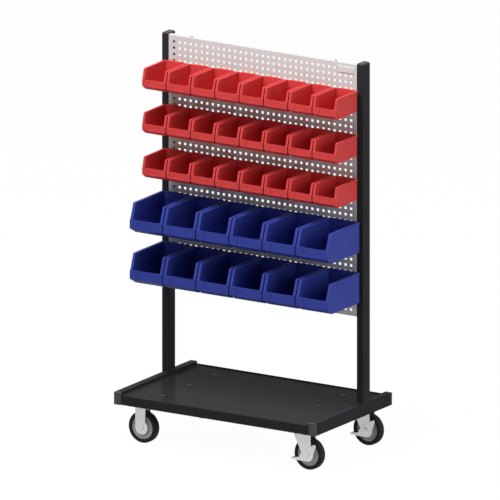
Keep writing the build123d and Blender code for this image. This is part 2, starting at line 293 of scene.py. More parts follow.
def slab(
    outline: np.ndarray, low: float, high: float, edge: float | tuple[float, float], steps: int = 2
) -> Skin:
    """Plate with rounded rims.

    Its profile is two quarter circles: the inset is the edge radius times one minus the sine of the
    angle, and the height above the plate's face the radius times one minus the cosine.

    Args:
        outline: anticlockwise points, with corner radii no smaller than the edge.
        low: height of the lower face.
        high: height of the upper face.
        edge: radius of the rims, or the lower rim's and the upper rim's.
        steps: spans in each quarter circle.

    Returns:
        The closed skin.
    """
    lower, upper = edge if isinstance(edge, tuple) else (edge, edge)
    angle = np.linspace(0, pi / 2, steps + 1)
    inset, rise = 1 - np.sin(angle), 1 - np.cos(angle)
    under = np.stack([lower * inset, low + lower * rise], axis=1)
    over = np.stack([upper * inset, high - upper * rise], axis=1)[::-1]
    return carry(outline, np.concatenate([under, over]))


def hexagon(across_flats: float, height: float, chamfer: float) -> Skin:
    """Hexagon head standing on its origin, with a chamfered top."""
    profile = np.array([(0, 0), (0, height - chamfer), (chamfer * CHAMFER_RUN, height)], float)
    return carry(circle(across_flats / 2 / cos(pi / 6), 6), profile)


def disc(radius: float, low: float, high: float, edge: float, steps: int = 28) -> Skin:
    """Round plate with a rounded upper rim.

    Along the rim the radius is less by the edge times one minus the cosine of the angle, and the
    height is less by the edge times one minus the sine.

    Args:
        radius: the plate's radius.
        low: height of the lower face.
        high: height of the upper face.
        edge: radius of the rim.
        steps: points round the axis.

    Returns:
        The closed skin.
    """
    angle = np.linspace(0, pi / 2, DISC_RIM_POINTS)
    rim = np.stack([radius - edge * (1 - np.cos(angle)), high - edge * (1 - np.sin(angle))], axis=1)
    return revolve(np.concatenate([[(radius, low)], rim]), steps)


def node_box(node: str) -> tuple[np.ndarray, np.ndarray]:
    """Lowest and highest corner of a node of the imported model, in millimetres."""
    low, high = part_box(node)
    return np.array(low) / MM, np.array(high) / MM


def linear(colour: str) -> tuple[float, float, float, float]:
    """Turn an sRGB hex colour into linear light.

    A channel is divided by 12.92 up to 0.04045, and follows a power of 2.4 above that.

    Args:
        colour: a hash and six hex digits.

    Returns:
        Linear red, green and blue, and an alpha of one.
    """
    channel = np.array([int(colour[k:k + 2], 16) / 255 for k in (1, 3, 5)])
    light = np.where(channel <= 0.04045, channel / 12.92, ((channel + 0.055) / 1.055) ** 2.4)
    return (*light.tolist(), 1.0)


def add_node(
    tree: bpy.types.NodeTree, kind: str, inputs: dict[str | int, object] | None = None, **settings: object
) -> bpy.types.Node:
    """Add a shader node with its settings, values and links.

    Args:
        tree: the node tree.
        kind: the node's type name.
        inputs: values, or sockets to link from, by the input's name or number.
        settings: properties of the node itself.

    Returns:
        The new node.
    """
    node = tree.nodes.new(kind)
    for name, value in settings.items():
        setattr(node, name, value)
    for name, value in (inputs or {}).items():
        if isinstance(value, bpy.types.NodeSocket):
            tree.links.new(value, node.inputs[name])
        else:
            node.inputs[name].default_value = value
    return node


@dataclass(frozen=True)
class Finish:
    """A surface as it left the works: its colour, its gloss and the sizes of its patterns.

    The grain is the relief, and the mottle the slow drift of colour and gloss over the piece. Both
    are three-dimensional noise, so they run on over edges.
    """

    name: str
    colour: str
    roughness: float
    specular: float
    grain: float
    grain_depth: float
    mottle: float
    drift: float = 0.08
    metallic: float = 0.0
    stretch: tuple[float, float, float] = (1.0, 1.0, 1.0)
    gloss_drift: float = 0.1
    mottle_detail: float = 3.0
    grain_detail: float = 2.0

    def material(self) -> bpy.types.Material:
        """The finish as a material, made at its first use.

        Returns:
            The material of this finish's name.
        """
        known = bpy.data.materials.get(self.name)
        if known:
            return known
        made = bpy.data.materials.new(self.name)
        made.use_nodes = True
        made.diffuse_color = linear(self.colour)
        tree = made.node_tree
        tree.nodes.clear()
        place = add_node(tree, "ShaderNodeTexCoord").outputs["Object"]
        shader = add_node(
            tree,
            "ShaderNodeBsdfPrincipled",
            {"Metallic": self.metallic, "Specular IOR Level": self.specular},
        )
        self.lay(tree, place, shader)
        add_node(tree, "ShaderNodeOutputMaterial", {"Surface": shader.outputs[0]})
        return made

    def lay(self, tree: bpy.types.NodeTree, place: bpy.types.NodeSocket, shader: bpy.types.Node) -> None:
        """Lay the mottle on colour and roughness, and the grain on the relief.

        Args:
            tree: the material's nodes.
            place: the point on the piece, in metres.
            shader: the surface shader.
        """
        drawn = add_node(tree, "ShaderNodeMapping", {"Vector": place, "Scale": self.stretch}).outputs[0]
        slow = add_node(
            tree,
            "ShaderNodeTexNoise",
            {"Vector": drawn, "Scale": 1 / (self.mottle * MM), "Detail": self.mottle_detail},
        ).outputs[0]
        gloss = add_node(
            tree,
            "ShaderNodeMapRange",
            {
                "Value": slow,
                "From Min": NOISE_LOW,
                "From Max": NOISE_HIGH,
                "To Min": self.roughness * (1 - self.gloss_drift),
                "To Max": self.roughness * (1 + self.gloss_drift),
            },
        )
        fine = add_node(
            tree,
            "ShaderNodeTexNoise",
            {"Vector": drawn, "Scale": 1 / (self.grain * MM), "Detail": self.grain_detail},
        )
        relief = add_node(
            tree,
            "ShaderNodeBump",
            {"Strength": 1.0, "Distance": self.grain_depth * MM, "Height": fine.outputs[0]},
        )
        tree.links.new(self.tint(tree, place, slow), shader.inputs["Base Color"])
        tree.links.new(gloss.outputs[0], shader.inputs["Roughness"])
        tree.links.new(relief.outputs[0], shader.inputs["Normal"])

    def tint(
        self, tree: bpy.types.NodeTree, place: bpy.types.NodeSocket, slow: bpy.types.NodeSocket
    ) -> bpy.types.NodeSocket:
        """Colour that drifts with the mottle, from a little darker to a little lighter.

        Args:
            tree: the material's nodes.
            place: the point on the piece, for finishes whose colour goes by it.
            slow: the mottle's noise.

        Returns:
            The colour.
        """
        base = np.array(linear(self.colour))
        lift = np.array([1 + self.drift] * 3 + [1.0])
        dark, light = tuple(base / lift), tuple(np.minimum(base * lift, 1.0))
        mixed = add_node(
            tree,
            "ShaderNodeMix",
            {"Factor": slow, MIX_FIRST: dark, MIX_SECOND: light},
            data_type="RGBA",
        )
        return mixed.outputs[MIX_RESULT]


@dataclass(frozen=True)
class SpangledZinc(Finish):
    """Bright zinc plating: a thin metal coat whose crystals differ a little in grey."""

    crystal: float = 4.0
    dull_colour: str = "#D6D6D8"

    def tint(
        self, tree: bpy.types.NodeTree, place: bpy.types.NodeSocket, slow: bpy.types.NodeSocket
    ) -> bpy.types.NodeSocket:
        """Colour of the crystals, each at its own place between two greys.

        Args:
            tree: the material's nodes.
            place: the point on the piece, in metres.
            slow: the mottle's noise, which leaves the crystals' colour alone.

        Returns:
            The colour.
        """
        cells = add_node(
            tree,
            "ShaderNodeTexVoronoi",
            {"Vector": place, "Scale": 1 / (self.crystal * MM)},
        )
        shade = add_node(tree, "ShaderNodeSeparateColor", {"Color": cells.outputs["Color"]}).outputs[0]
        grey = add_node(
            tree,
            "ShaderNodeMix",
            {"Factor": shade, MIX_FIRST: linear(self.colour), MIX_SECOND: linear(self.dull_colour)},
            data_type="RGBA",
        )
        return grey.outputs[MIX_RESULT]


# Powder coat on steel: baked polyester whose skin flows into a fine orange peel of about 0.6 mm,
# drawn here at 3 mm so that it shows. It gives the black tubes a dull, even sheen.
FRAME_COAT = Finish(
    "Powder_coated_steel_black", "#272729",
    roughness=0.78, specular=0.11, grain=3.0, grain_depth=0.02, mottle=90.0,
)
# The same coat on the wide flat shelf, where it flowed out smoother: dark from above, and a dim
# mirror at a flat angle.
SHELF_COAT = Finish(
    "Powder_coated_steel_smooth_black", "#2E2E2F",
    roughness=0.2, specular=0.002, grain=4.0, grain_depth=0.003, mottle=140.0,
)
# Smooth pale powder coat on the panel and its rails; the red bins lend it a warm tint.
PANEL_COAT = Finish(
    "Powder_coated_steel_pale_grey", "#C4C3C2",
    roughness=0.25, specular=0.8, grain=3.0, grain_depth=0.003, mottle=120.0,
    drift=0.03,
)
# Polypropylene from an eroded mould, in two colours: grain of about 0.3 mm, drawn at 1.6 mm, and a
# satin gloss.
RED_PLASTIC = Finish(
    "Moulded_polypropylene_red", "#C93C3C",
    roughness=0.65, specular=0.3, grain=1.6, grain_depth=0.02, mottle=70.0,
    drift=0.05,
)
BLUE_PLASTIC = Finish(
    "Moulded_polypropylene_blue", "#2B398F",
    roughness=0.65, specular=0.3, grain=1.6, grain_depth=0.02, mottle=80.0,
    drift=0.06,
)
# Brushed and clear anodised aluminium: a dry pale sheen, hairlines of 0.1 mm along X drawn at 0.5 mm.
PLATE_METAL = Finish(
    "Anodised_aluminium", "#D2D1CF",
    roughness=0.5, specular=0.4, grain=0.5, grain_depth=0.004, mottle=30.0,
    drift=0.03, metallic=0.3, stretch=(0.05, 1.0, 1.0),
)
# Polyethylene plugs, grey in the rails and black elsewhere: waxy, without a grain to speak of.
RAIL_CAP_PLASTIC = Finish(
    "Moulded_polyethylene_grey", "#464647",
    roughness=0.4, specular=0.2, grain=1.5, grain_depth=0.01, mottle=20.0,
)
POST_CAP_PLASTIC = Finish(
    "Moulded_polyethylene_black", "#2C2C2D",
    roughness=0.4, specular=0.3, grain=1.5, grain_depth=0.01, mottle=20.0,
)
# Zinc on pressed steel and on bolts: a bright, slightly patchy grey, from crystals of some 2 mm that
# are drawn at 4 mm.
CASTOR_ZINC = SpangledZinc(
    "Bright_zinc_plated_steel", "#DEDEDF",
    roughness=0.4, specular=0.5, grain=1.2, grain_depth=0.006, mottle=25.0,
    metallic=0.7,
)
BOLT_ZINC = SpangledZinc(
    "Zinc_plated_bolt_steel", "#CFCFD1",
    roughness=0.35, specular=0.5, grain=1.0, grain_depth=0.006, mottle=12.0,
    metallic=0.8,
)
# Blackened screws: near black, with a small soft highlight on each dome.
SCREW_OXIDE = Finish(
    "Black_oxide_steel", "#2E2E30",
    roughness=0.42, specular=0.3, grain=1.0, grain_depth=0.004, mottle=10.0,
)
# Glass-filled polyamide: dry and slightly cloudy.
RIM_PLASTIC = Finish(
    "Moulded_polyamide_grey", "#C6C6C7",
    roughness=0.48, specular=0.3, grain=1.4, grain_depth=0.02, mottle=18.0,
)
# Solid rubber: dull, with the mould's fine roughness.
TYRE_RUBBER = Finish(
    "Moulded_rubber_black", "#232323",
    roughness=0.72, specular=0.15, grain=1.8, grain_depth=0.05, mottle=25.0,
    drift=0.15,
)


def add_piece(
    name: str, skins: list[Skin], finishes: list[Finish], body: str, slot: str, *nodes: str
) -> None:
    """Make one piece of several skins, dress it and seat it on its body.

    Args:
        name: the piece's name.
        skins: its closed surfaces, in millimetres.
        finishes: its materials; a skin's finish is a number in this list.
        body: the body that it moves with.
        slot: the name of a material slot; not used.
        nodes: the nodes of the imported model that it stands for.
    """
    starts = np.cumsum([0] + [len(skin.points) for skin in skins])
    faces = [
        loop
        for skin, start in zip(skins, starts)
        for loop in [*(skin.quads + start).tolist(), *((cap + start).tolist() for cap in skin.caps)]
    ]
    marks = np.repeat([skin.finish for skin in skins], [len(skin.quads) + len(skin.caps) for skin in skins])
    mesh = bpy.data.meshes.new(name)
    mesh.from_pydata((np.concatenate([skin.points for skin in skins]) * MM).tolist(), [], faces)
    for finish in finishes:
        mesh.materials.append(finish.material())
    mesh.polygons.foreach_set("material_index", marks.astype(np.int32))
    mesh.shade_smooth()
    mesh.set_sharp_from_angle(angle=SMOOTH_ANGLE)
    mesh.update()
    piece = bpy.data.objects.new(name, mesh)
    bpy.context.scene.collection.objects.link(piece)
    piece.modifiers.new("flat_faces_stay_flat", "WEIGHTED_NORMAL").keep_sharp = True
    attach(piece, body)
    if nodes:
        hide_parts(*nodes)
    LOG.info("%s: %d faces on %s", name, len(faces), body)


@dataclass
class TubeFrame:
    """Rails, posts, bearers and hanging rails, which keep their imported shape, and the folded shelf."""

    coats: dict[str, Finish] = field(
        default_factory=lambda: {
            "side_rail_left": FRAME_COAT,
            "side_rail_right": FRAME_COAT,
            "upright_left": FRAME_COAT,
            "upright_right": FRAME_COAT,
            "castor_bearers": FRAME_COAT,
            "hanging_rails": PANEL_COAT,
        }
    )
    shelf_sheet: float = 2.0
    shelf_bend: float = 2.5
    shelf_lead: float = 3.5
    shelf_stop: float = SHELF_STOP
    shelf_edge: float = 0.3
    shelf_end: float = 0.4
    bead_radius: float = 3.0
    bead_length: float = 22.0
    bead_tip_share: float = 0.995
    bead_sides: int = 14
    bead_ripples: int = 7
    ripple_depth: float = 0.35
    ripple_spans: int = 6

    def build(self) -> None:
        """Dress the nodes, fold the shelf and add the welds."""
        for node, coat in self.coats.items():
            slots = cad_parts[node].data.materials
            slots.clear()
            slots.append(coat.material())
            LOG.info("%s: %s", node, coat.name)
        add_piece("base_shelf_folded", self.shelf(), [SHELF_COAT], "root", "shelf_paint", "base_shelf")
        add_piece("post_foot_welds", self.welds(), [FRAME_COAT], "root", "frame_paint")

    def shelf(self) -> list[Skin]:
        """Shelf: a tray upside down, its front between the rails' caps and a stop along its back.

        The top and the front are one strip along a path that turns at the bend. The end walls and
        the back are plates that start in the middle of the strip's sheet.

        Returns:
            The strip, the end walls and the back.
        """
        low, high = node_box("base_shelf")
        front, back = self.shelf_lead - low[1], -high[1]
        bottom, top = low[2], high[2] - self.shelf_stop
        sheet, bend, end = self.shelf_sheet, self.shelf_bend, self.shelf_end
        inset = sheet / 2
        strip = band([(front, bottom), (front, top), (back + inset, top)], sheet)
        fold = rounded(strip, [end, bend, end, end, bend - sheet, end], steps=5)
        wall = rounded(
            [
                (back + inset, bottom),
                (front - inset, bottom),
                (front - inset, top - inset),
                (back + inset, top - inset),
            ],
            [end, end, bend - inset, end],
        )
        stop = rounded(
            [(back, bottom), (back + sheet, bottom), (back + sheet, high[2]), (back, high[2])], end
        )
        skins = [slab(outline, low[0], high[0], self.shelf_edge) for outline in (fold, stop)]
        skins += [slab(wall, x, x + sheet, self.shelf_edge) for x in (low[0], high[0] - sheet)]
        return [skin.placed((0, 0, 0), Facing.LEFT) for skin in skins]

    def bead(self) -> Skin:
        """A weld bead along X: a circle whose radius swells with each ripple and closes at both ends.

        The radius is the bead's radius, less the ripple depth times the sine of the ripples' phase
        squared, times the fourth root of one minus the fourth power of the place along the bead.

        Returns:
            The closed skin.
        """
        tip = self.bead_tip_share
        along = np.linspace(-tip, tip, self.ripple_spans * self.bead_ripples + 1)
        swell = self.bead_radius - self.ripple_depth * np.sin(along * self.bead_ripples * pi / 2) ** 2
        radius = swell * (1 - along**4) ** 0.25
        bar = revolve(np.stack([radius, along * self.bead_length / 2], axis=1), self.bead_sides)
        return Skin(bar.points[:, [2, 0, 1]], bar.quads, bar.caps)

    def welds(self) -> list[Skin]:
        """One bead at the front and one at the back of each post's foot.

        Returns:
            The four beads.
        """
        beads = []
        for side in SIDES:
            low, high = node_box(f"upright_{side}")
            middle = (low[0] + high[0]) / 2
            beads += [self.bead().shifted(middle, y, low[2]) for y in (low[1], high[1])]
        return beads


@dataclass
class TubeCaps:
    """Plastic caps on the tube ends: nearly flat on the rails, domed on the posts."""

    corner: float = 2.5
    rail_edge: float = 1.0
    post_corner: float = 7.0
    post_edge: float = 4.6
    seat_edge: float = 0.25

    def build(self) -> None:
        """Cap both ends of the rails and the tops of the posts."""
        low, high = node_box("tube_end_caps")
        skins = []
        for side in SIDES:
            rail_low, rail_high = node_box(f"side_rail_{side}")
            width, _, height = rail_high - rail_low
            x, _, z = (rail_low + rail_high) / 2
            outline = rectangle(width, height, self.corner, steps=5)
            reach = rail_low[1] - low[1]
            front = slab(outline, 0, reach, (self.seat_edge, self.rail_edge), steps=4)
            back = slab(outline, -reach, 0, (self.rail_edge, self.seat_edge), steps=4)
            skins.append(front.placed((x, rail_low[1], z), Facing.FRONT))
            skins.append(back.placed((x, rail_high[1], z), Facing.FRONT))
            post_low, post_high = node_box(f"upright_{side}")
            x, y, _ = (post_low + post_high) / 2
            outline = rectangle(width, height, self.post_corner, steps=5)
            top = slab(outline, 0, high[2] - post_high[2], (self.seat_edge, self.post_edge), steps=5)
            skins.append(top.dressed(1).placed((x, y, post_high[2])))
        finishes = [RAIL_CAP_PLASTIC, POST_CAP_PLASTIC]
        add_piece("tube_caps_moulded", skins, finishes, "root", "cap_plastic", "tube_end_caps")


@dataclass
class PerforatedPanel:
    """Sheet with square holes at an even pitch and edges folded to the back."""

    sheet: float = PANEL_SHEET
    bend: float = 3.0
    bend_slack: float = 0.1
    seam_round: float = 0.02
    rim: float = 0.3
    margin: float = 25.0
    pitch: float = 25.0
    hole: float = 10.0
    plate_width: float = 72.0
    plate_height: float = 24.0
    plate_thickness: float = 3.0
    plate_corner: float = 3.0
    plate_rims: tuple[float, float] = (0.05, 0.4)
    plate_right: float = 12.0
    plate_drop: float = 14.0
    plug_place: float = 325.0
    plug_radius: float = 4.0
    plug_height: float = 2.4
    plug_round: float = 1.6

    def build(self) -> None:
        """Make the panel, the bare plate on its corner and the plugs in its top edge."""
        low, high = node_box("perforated_panel")
        skins = [self.holed_sheet(low, high), self.folded_edge(low, high)]
        add_piece("panel_pressed", skins, [PANEL_COAT], "root", "panel_paint", "perforated_panel")
        outline = rectangle(self.plate_width, self.plate_height, self.plate_corner)
        x = high[0] - self.plate_right - self.plate_width / 2
        z = high[2] - self.plate_drop - self.plate_height / 2
        plate = slab(outline, 0, self.plate_thickness, self.plate_rims)
        plate = plate.placed((x, low[1], z), Facing.FRONT)
        add_piece("panel_blank_plate", [plate], [PLATE_METAL], "root", "panel_paint")
        y = (low[1] + high[1]) / 2
        plug = disc(self.plug_radius, 0, self.plug_height, self.plug_round, steps=20)
        plugs = [plug.placed((sign * self.plug_place, y, high[2])) for sign in (-1, 1)]
        add_piece("panel_top_plugs", plugs, [POST_CAP_PLASTIC], "root", "cap_plastic")

    def lines(self, low: float, high: float) -> np.ndarray:
        """Grid lines along one direction: the flat's two ends and both edges of every hole.

        The holes' middles stand at even pitches about the panel's middle.

        Args:
            low: the panel's lower end in that direction.
            high: its upper end.

        Returns:
            The lines' places, in rising order.
        """
        count = round((high - low - 2 * self.margin) / self.pitch) + 1
        centre = (low + high) / 2 + (np.arange(count) - (count - 1) / 2) * self.pitch
        edges = (centre[:, None] + np.array([-self.hole, self.hole]) / 2).ravel()
        return np.concatenate([[low + self.bend], edges, [high - self.bend]])

    def holed_sheet(self, low: np.ndarray, high: np.ndarray) -> Skin:
        """Flat sheet as two layers of a grid, without the cells that are holes.

        Point (layer, i, j) lies at line i across, line j up and the layer's depth. A cell whose two
        numbers are odd is a hole. Where one of two neighbouring cells is solid and the other is a hole
        or outside, a wall joins the layers.

        Args:
            low: the panel's lowest corner.
            high: the panel's highest corner.

        Returns:
            The closed skin.
        """
        across, up = self.lines(low[0], high[0]), self.lines(low[2], high[2])
        depth = np.array([low[1], low[1] + self.sheet])
        y, x, z = np.meshgrid(depth, across, up, indexing="ij")
        number = np.arange(y.size).reshape(y.shape)
        i, j = np.meshgrid(np.arange(len(across) - 1), np.arange(len(up) - 1), indexing="ij")
        solid = (i % 2 == 0) | (j % 2 == 0)
        i, j = i[solid], j[solid]
        front, back = (
            np.stack([n[i, j], n[i + 1, j], n[i + 1, j + 1], n[i, j + 1]], axis=1) for n in number
        )
        framed = np.pad(solid, 1)
        walls = [front, back[:, ::-1]]
        for axis in (0, 1):
            step = np.diff(framed.astype(int), axis=axis)
            step = step[:, 1:-1] if axis == 0 else step[1:-1]
            for sign in (1, -1):
                a, b = np.nonzero(step == sign)
                c, d = (a, b + 1) if axis == 0 else (a + 1, b)
                wall = np.stack(
                    [number[0][a, b], number[0][c, d], number[1][c, d], number[1][a, b]], axis=1
                )
                walls.append(wall if (sign == 1) == (axis == 1) else wall[:, ::-1])
        points = np.stack([x, y, z], axis=-1).reshape(-1, 3)
        return Skin(points, np.concatenate(walls)).outward()

    def folded_edge(self, low: np.ndarray, high: np.ndarray) -> Skin:
        """Folded rim: an L-shaped profile with a round bend, carried round the panel.

        Args:
            low: the panel's lowest corner.
            high: the panel's highest corner.

        Returns:
            The closed skin.
        """
        width, depth, height = high - low
        outer_bend = self.bend - self.bend_slack
        inner_bend = self.bend - self.sheet - self.bend_slack
        profile = rounded(
            [
                (self.bend, 0),
                (0, 0),
                (0, -depth),
                (self.sheet, -depth),
                (self.sheet, -self.sheet),
                (self.bend, -self.sheet),
            ],
            [self.seam_round, outer_bend, self.rim, self.rim, inner_bend, self.seam_round],
            steps=4,
        )
        x, z = width / 2, height / 2
        outline = np.array([(-x, -z), (x, -z), (x, z), (-x, z)])
        middle = (low + high) / 2
        rim = carry(outline, profile, ring=True)
        return rim.placed((middle[0], low[1], middle[2]), Facing.FRONT)


@dataclass
class HangingBins:
    """Bins of one size: a tub with a slanted nose, rims on its walls, a recessed lip and a rear hook."""

    family: str
    rows: dict[str, int]
    plastic: Finish
    nose_setback: float
    nose_rise: float
    nose_round: float
    lip_start: float
    lip_height: float
    lip_corner: float
    mouth_setback: float
    hook_width: float
    recess_start: float
    recess_floor: float
    rim_inside: float
    rim_setback: float
    side_gap: float
    wall: float = 2.5
    edge: float = 0.9
    lap: float = 0.2
    end_round: float = 1.0
    heel_round: float = 3.0
    heel_inside_round: float = 1.5
    floor_round: float = 4.0
    floor_inside_round: float = 2.0
    mouth_round: float = 2.0
    rim_reach: float = 3.5
    rim_depth: float = 5.0
    rim_round: float = 4.0
    rim_inside_round: float = 2.0
    lip_shoulder: float = 2.5
    lip_thickness: float = 4.6
    lip_rims: tuple[float, float] = (0.05, 0.4)
    backing_edge: float = 0.5
    recess_depth: float = 2.4
    recess_chamfer: float = 2.0
    recess_round: float = 0.8
    hook_reach: float = 7.8
    hook_tip: float = 2.5
    hook_drop: float = 12.0
    hook_thickness: float = 3.0
    hook_bend: float = 1.2
    hook_tip_round: float = 1.0
    hook_round: float = 0.6
    hook_edge: float = 0.5

    def build(self) -> None:
        """Hang every bin of the family."""
        for row, count in self.rows.items():
            for number in range(1, count + 1):
                node = f"{self.family}_{row}_{number}"
                low, high = node_box(node)
                x = (low[0] + high[0]) / 2
                place = (x, high[1] - self.hook_reach, low[2])
                skins = [skin.shifted(*place) for skin in self.shell(high - low)]
                add_piece(f"{node}_moulded", skins, [self.plastic], node, self.family, node)

    def shell(self, size: np.ndarray) -> list[Skin]:
        """All skins of one bin, its back at Y = 0 and its floor at Z = 0.

        Every skin is a plate across an outline: the tub's floor, nose and back are a strip along the
        side profile, the walls fill that profile, and the rims are strips along its upper edge.

        Args:
            size: the bin's width, its depth with the hook, and its height.

        Returns:
            The skins.
        """
        width, depth, height = size[0], size[1] - self.hook_reach, size[2]
        half, inner = width / 2 - self.side_gap, width / 2 - self.rim_reach
        front = depth - self.lap
        nose = (depth - self.nose_setback, 0)
        tip = (front, self.nose_rise)
        lip = (depth - self.rim_setback, self.lip_height)
        mouth = (depth - self.mouth_setback, height)
        end = self.end_round
        tub = rounded(
            band([(0, height), (0, 0), nose, tip, (front, self.lip_start + self.wall)], self.wall),
            [
                end,
                self.heel_round,
                self.floor_round,
                self.nose_round,
                end,
                end,
                max(self.nose_round - self.wall, end),
                self.floor_inside_round,
                self.heel_inside_round,
                end,
            ],
            steps=4,
        )
        side = rounded(
            [(self.lap, self.lap), nose, tip, lip, mouth, (self.lap, height - self.lap)],
            [self.heel_round, self.floor_round, self.nose_round, end, self.mouth_round, end],
            steps=4,
        )
        bend, inside = self.rim_round, self.rim_inside_round
        rim = rounded(
            band([(lip[0], lip[1] - self.rim_depth), lip, mouth, (0, height)], self.rim_depth),
            [end, bend, bend, end, end, inside, inside, end],
        )
        plates = [
            slab(tub, -inner + self.lap, inner - self.lap, self.edge),
            slab(self.hook(height), -self.hook_width / 2, self.hook_width / 2, self.hook_edge),
        ]
        rim_start = inner - self.wall - self.rim_inside
        for sign in (-1, 1):
            wall_span = sorted((sign * (inner - self.wall), sign * inner))
            rim_span = sorted((sign * rim_start, sign * half))
            plates += [slab(side, *wall_span, self.edge), slab(rim, *rim_span, self.edge)]
        origin = (0.0, 0.0, 0.0)
        return [plate.placed(origin, Facing.LEFT) for plate in plates] + self.lip(half, depth)

    def hook(self, height: float) -> np.ndarray:
        """Outline of the hook, which goes over the hanging rail and down behind it.

        Args:
            height: the bin's height, where the hook's upper edge lies.

        Returns:
            The outline's points.
        """
        root, back = self.wall / 2, -self.hook_reach
        tip, under = back + self.hook_tip, height - self.hook_thickness
        bottom = height - self.hook_drop
        plain, end = self.hook_round, self.hook_tip_round
        return rounded(
            [(root, height), (back, height), (back, bottom), (tip, bottom), (tip, under), (root, under)],
            [plain, self.hook_bend, end, end, plain, plain],
            steps=2,
        )

    def lip(self, half: float, depth: float) -> list[Skin]:
        """The lip: a plate across the front, and on it a U that leaves the recess open above.

        Args:
            half: half the width over the rims.
            depth: the bin's depth without its hook.

        Returns:
            The U and the plate behind it.
        """
        left, floor, cut = self.recess_start - half, self.recess_floor, self.recess_chamfer
        top, bottom = self.lip_height, self.lip_start
        corner, shoulder, inside = self.lip_corner, self.lip_shoulder, self.recess_round
        frame_outline = rounded(
            [
                (-half, bottom),
                (half, bottom),
                (half, top),
                (-left, top),
                (-left, floor + cut),
                (-left - cut, floor),
                (left + cut, floor),
                (left, floor + cut),
                (left, top),
                (-half, top),
            ],
            [corner, corner, shoulder, *[inside] * 6, shoulder],
        )
        backing = rectangle(2 * (half - self.lap), top - bottom - self.lap, shoulder)
        origin = (0.0, -depth, 0.0)
        middle = (0.0, -depth, (top + bottom) / 2)
        overlap = self.recess_depth - self.lap
        return [
            slab(frame_outline, -self.recess_depth, 0, self.lip_rims).placed(origin, Facing.FRONT),
            slab(backing, -self.lip_thickness, -overlap, self.backing_edge).placed(middle, Facing.FRONT),
        ]


@dataclass
class Wheels:
    """Dished plastic rims on solid tyres."""

    shoulder: float = 7.0
    mouth_round: float = 2.5
    seat_lap: float = 1.0
    bore: float = 5.05
    hub_radius: float = 15.0
    web_half: float = 8.5
    web_inner: float = 18.0
    web_outer: float = 38.0
    flange_inner: float = 41.5
    flange_half: float = 11.5
    bore_round: float = 0.5
    ring_round: float = 1.2
    web_round: float = 2.0
    seat_round: float = 1.0
    steps: int = 72

    def build(self) -> None:
        """Make four rims and four tyres."""
        for row in ROWS:
            for side in SIDES:
                body = f"wheel_{row}_{side}"
                self.tyre(f"tyre_{row}_{side}", body)
                self.rim(f"wheel_rim_{row}_{side}", body)

    def tyre(self, node: str, body: str) -> None:
        """Tyre: a rectangle with round shoulders, turned about the axle.

        Args:
            node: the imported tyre.
            body: the wheel that it turns with.
        """
        low, high = node_box(node)
        rim_low, rim_high = node_box(node.replace("tyre", "wheel_rim"))
        outer, half = (high[2] - low[2]) / 2, (high[1] - low[1]) / 2
        seat = (rim_high[2] - rim_low[2]) / 2 - self.seat_lap
        profile = rounded(
            [(seat, -half), (outer, -half), (outer, half), (seat, half)],
            [self.mouth_round, self.shoulder, self.shoulder, self.mouth_round],
            steps=5,
        )
        skin = revolve(profile, self.steps, ring=True).placed(tuple((low + high) / 2), Facing.FRONT)
        add_piece(f"{node}_moulded", [skin], [TYRE_RUBBER], body, "tyre", node)

    def rim(self, node: str, body: str) -> None:
        """Rim: hub, recessed web and outer ring in one profile, turned about the axle.

        Args:
            node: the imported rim.
            body: the wheel that it turns with.
        """
        low, high = node_box(node)
        outer, half = (high[2] - low[2]) / 2, (high[1] - low[1]) / 2
        side = [
            (self.bore, half),
            (self.hub_radius, half),
            (self.web_inner, self.web_half),
            (self.web_outer, self.web_half),
            (self.flange_inner, self.flange_half),
            (outer, self.flange_half),
        ]
        corners = [(radius, -height) for radius, height in side] + side[::-1]
        web, ring = self.web_round, self.ring_round
        radii = [self.bore_round, ring, web, web, ring, self.seat_round]
        profile = rounded(corners, radii + radii[::-1])
        skin = revolve(profile, self.steps, ring=True).placed(tuple((low + high) / 2), Facing.FRONT)
        add_piece(f"{node}_moulded", [skin], [RIM_PLASTIC], body, "wheel_rim", node)


